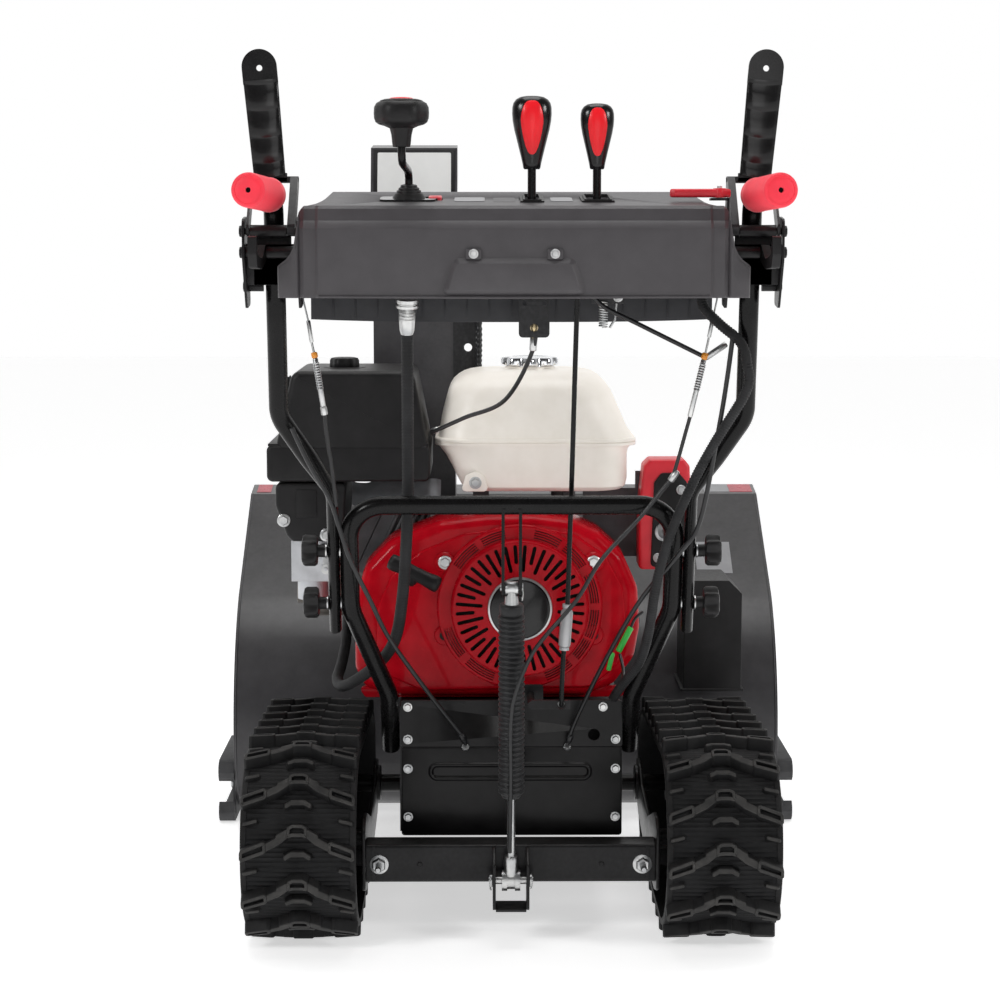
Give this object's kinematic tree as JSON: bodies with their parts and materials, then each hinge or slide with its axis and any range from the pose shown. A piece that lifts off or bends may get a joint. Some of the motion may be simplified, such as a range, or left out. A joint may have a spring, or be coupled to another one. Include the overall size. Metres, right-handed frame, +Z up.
{
  "type": "snow blower",
  "caption": "Walk-behind two-stage snow blower on rubber tracks, with a full-width auger housing, petrol engine, rotating chute, gas-strut tilt and a lever dashboard.",
  "frame": {"origin": "middle of the footprint, on the ground", "axes": "+Z up, +Y forward towards the auger housing, +X to the right of an operator standing behind the machine"},
  "size_m": [0.91, 1.3231, 1.1467],
  "materials": {
    "housing_paint": "charcoal powder coat on sheet steel",
    "frame_paint": "black powder coat",
    "red_paint": "gloss red paint",
    "red_plastic": "moulded red plastic",
    "cream_plastic": "moulded off-white plastic",
    "black_plastic": "moulded black plastic",
    "dash_plastic": "fine-textured dark grey plastic",
    "grip_rubber": "soft red rubber",
    "track_rubber": "moulded black rubber",
    "black_rubber": "black rubber and braided sleeve",
    "cast_alloy": "cast aluminium",
    "steel": "zinc-plated steel",
    "polished_steel": "bright plated steel",
    "cast_iron": "cast iron",
    "exhaust_steel": "heat-dulled steel"
  },
  "bodies": {
    "chassis": {"auger_housing": "housing_paint", "impeller_housing": "housing_paint", "scraper_bar": "steel", "skid_shoes": "cast_iron", "tractor_frame": "frame_paint", "rear_cover_upper": "frame_paint", "rear_cover_lower": "frame_paint", "belt_cover": "black_plastic", "battery_box": "black_plastic", "engine_block": "cast_alloy", "cylinder_head": "cast_alloy", "fan_cover": "red_paint", "recoil_starter": "red_paint", "fuel_tank": "cream_plastic", "air_cleaner": "black_plastic", "carburettor": "cast_alloy", "muffler": "exhaust_steel", "control_box": "red_plastic", "starter_motor": "frame_paint", "lower_handlebar": "frame_paint", "upper_handlebars": "frame_paint", "hand_grips": "grip_rubber", "lever_brackets": "frame_paint", "dashboard": "dash_plastic", "dash_skirt": "black_plastic", "dash_trim": "black_plastic", "clamp_knobs": "black_plastic", "fasteners": "steel", "bearings": "steel", "control_cables": "black_rubber", "flex_shaft": "black_rubber", "auger_gearbox": "cast_alloy", "transmission": "cast_iron"},
    "track_unit": {"track_frame": "frame_paint", "track_left": "track_rubber", "track_right": "track_rubber"},
    "drive": {"drive_axle": "steel"},
    "idlers": {"idler_wheels": "black_plastic"},
    "crankshaft": {"crankshaft": "steel"},
    "auger": {"auger": "red_paint"},
    "impeller": {"impeller": "red_paint"},
    "recoil_handle": {"recoil_handle": "black_plastic"},
    "fuel_cap": {"fuel_cap": "polished_steel"},
    "ignition_key": {"ignition_key": "black_plastic"},
    "choke_lever": {"choke_lever": "steel"},
    "rocker_switch": {"rocker_switch": "red_plastic"},
    "paddle_left": {"paddle_left": "black_plastic"},
    "paddle_right": {"paddle_right": "black_plastic"},
    "trigger_left": {"trigger_left": "black_plastic"},
    "trigger_right": {"trigger_right": "black_plastic"},
    "tilt_lever": {"tilt_lever": "red_plastic"},
    "chute_crank": {"chute_crank": "black_plastic"},
    "chute": {"chute": "housing_paint"},
    "chute_deflector": {"chute_deflector": "housing_paint"},
    "chute_lever": {"chute_lever": "black_plastic"},
    "speed_lever": {"speed_lever": "black_plastic"},
    "speed_rod": {"speed_rod": "steel"},
    "shift_arm": {"shift_arm": "frame_paint"},
    "strut_barrel": {"strut_barrel": "black_rubber"},
    "strut_rod": {"strut_rod": "polished_steel"}
  },
  "joints": [
    {"name": "track_tilt", "type": "hinge", "parent": "chassis", "child": "track_unit", "pos_m": [0, -0.0075, 0.126], "axis": [-1, 0, 0], "range_deg": [0, 10]},
    {"name": "drive_spin", "type": "hinge", "parent": "chassis", "child": "drive", "pos_m": [0, -0.0075, 0.126], "axis": [1, 0, 0], "continuous": true},
    {"name": "idler_spin", "type": "hinge", "parent": "track_unit", "child": "idlers", "pos_m": [0, -0.325, 0.134], "axis": [1, 0, 0], "continuous": true},
    {"name": "crank_spin", "type": "hinge", "parent": "chassis", "child": "crankshaft", "pos_m": [0.013, -0.125, 0.431], "axis": [0, 1, 0], "continuous": true},
    {"name": "auger_spin", "type": "hinge", "parent": "chassis", "child": "auger", "pos_m": [0, 0.44, 0.19], "axis": [1, 0, 0], "continuous": true},
    {"name": "impeller_spin", "type": "hinge", "parent": "chassis", "child": "impeller", "pos_m": [-0.02, 0.275, 0.228], "axis": [0, 1, 0], "continuous": true},
    {"name": "recoil_pull", "type": "slide", "parent": "chassis", "child": "recoil_handle", "axis": [0, -0.38, 0.925], "range_m": [0, 0.22], "stiffness_N_per_m": 15, "springref_m": -0.15},
    {"name": "cap_turn", "type": "hinge", "parent": "chassis", "child": "fuel_cap", "pos_m": [0.03, -0.08, 0.744], "axis": [0, 0, 1], "range_deg": [0, 90]},
    {"name": "key_turn", "type": "hinge", "parent": "chassis", "child": "ignition_key", "pos_m": [0.212, -0.185, 0.522], "axis": [0, 1, 0], "range_deg": [0, 90]},
    {"name": "choke_swing", "type": "hinge", "parent": "chassis", "child": "choke_lever", "pos_m": [-0.252, -0.18, 0.47], "axis": [0, 1, 0], "range_deg": [-30, 30]},
    {"name": "rocker_tilt", "type": "hinge", "parent": "chassis", "child": "rocker_switch", "pos_m": [-0.093, -0.52557, 0.96357], "axis": [1, 0, 0], "range_deg": [-6, 6]},
    {"name": "paddle_left_press", "type": "hinge", "parent": "chassis", "child": "paddle_left", "pos_m": [0, -0.541, 0.93], "axis": [1, 0, 0], "range_deg": [0, 62], "stiffness_Nm_per_rad": 0.35, "springref_deg": -34.38},
    {"name": "paddle_right_press", "type": "hinge", "parent": "chassis", "child": "paddle_right", "pos_m": [0, -0.541, 0.93], "axis": [1, 0, 0], "range_deg": [0, 62], "stiffness_Nm_per_rad": 0.35, "springref_deg": -34.38},
    {"name": "trigger_left_squeeze", "type": "hinge", "parent": "chassis", "child": "trigger_left", "pos_m": [0, -0.541, 0.905], "axis": [-1, 0, 0], "range_deg": [0, 13], "stiffness_Nm_per_rad": 0.4, "springref_deg": -34.38},
    {"name": "trigger_right_squeeze", "type": "hinge", "parent": "chassis", "child": "trigger_right", "pos_m": [0, -0.541, 0.905], "axis": [-1, 0, 0], "range_deg": [0, 13], "stiffness_Nm_per_rad": 0.4, "springref_deg": -34.38},
    {"name": "tilt_lever_swing", "type": "hinge", "parent": "chassis", "child": "tilt_lever", "pos_m": [0.243, -0.557, 0.975], "axis": [0, 0, 1], "range_deg": [-18, 18]},
    {"name": "crank_turn", "type": "hinge", "parent": "chassis", "child": "chute_crank", "pos_m": [-0.124, -0.535, 1], "axis": [0, 0, 1], "range_deg": [-480, 480]},
    {"name": "chute_turn", "type": "hinge", "parent": "chassis", "child": "chute", "pos_m": [-0.138, 0.18, 0.43], "axis": [0, 0, 1], "range_deg": [-100, 100]},
    {"name": "deflector_tilt", "type": "hinge", "parent": "chute", "child": "chute_deflector", "pos_m": [-0.138, 0.131, 0.972], "axis": [-1, 0, 0], "range_deg": [-8, 40]},
    {"name": "chute_lever_swing", "type": "hinge", "parent": "chassis", "child": "chute_lever", "pos_m": [0.022, -0.535, 0.9], "axis": [1, 0, 0], "range_deg": [-22, 10]},
    {"name": "speed_lever_swing", "type": "hinge", "parent": "chassis", "child": "speed_lever", "pos_m": [0.0995, -0.535, 0.9], "axis": [1, 0, 0], "range_deg": [-17, 17]},
    {"name": "speed_rod_pivot", "type": "hinge", "parent": "speed_lever", "child": "speed_rod", "pos_m": [0.0825, -0.4962, 0.9098], "axis": [1, 0, 0], "range_deg": [-18, 18]},
    {"name": "shift_arm_swing", "type": "hinge", "parent": "chassis", "child": "shift_arm", "pos_m": [0.027, -0.325, 0.315], "axis": [0, 1, 0], "range_deg": [-20, 20]},
    {"name": "strut_swing", "type": "hinge", "parent": "chassis", "child": "strut_barrel", "pos_m": [0, -0.417, 0.481], "axis": [1, 0, 0], "range_deg": [-1, 3]},
    {"name": "strut_stroke", "type": "slide", "parent": "strut_barrel", "child": "strut_rod", "axis": [0, -0.1182, 0.993], "range_m": [-0.001, 0.068]}
  ],
  "couplings": [
    {"joint": "idler_spin", "follows": "drive_spin", "ratio": 0.9292},
    {"joint": "impeller_spin", "follows": "auger_spin", "ratio": 8},
    {"joint": "crank_turn", "follows": "chute_turn", "ratio": -4.5},
    {"joint": "chute_lever_swing", "follows": "deflector_tilt", "ratio": -0.5},
    {"joint": "speed_rod_pivot", "follows": "speed_lever_swing", "ratio": -1},
    {"joint": "shift_arm_swing", "follows": "speed_lever_swing", "ratio": -0.995},
    {"joint": "strut_swing", "follows": "track_tilt", "ratio": 0.10414},
    {"joint": "strut_stroke", "follows": "track_tilt", "m_per_rad": 0.36225}
  ]
}
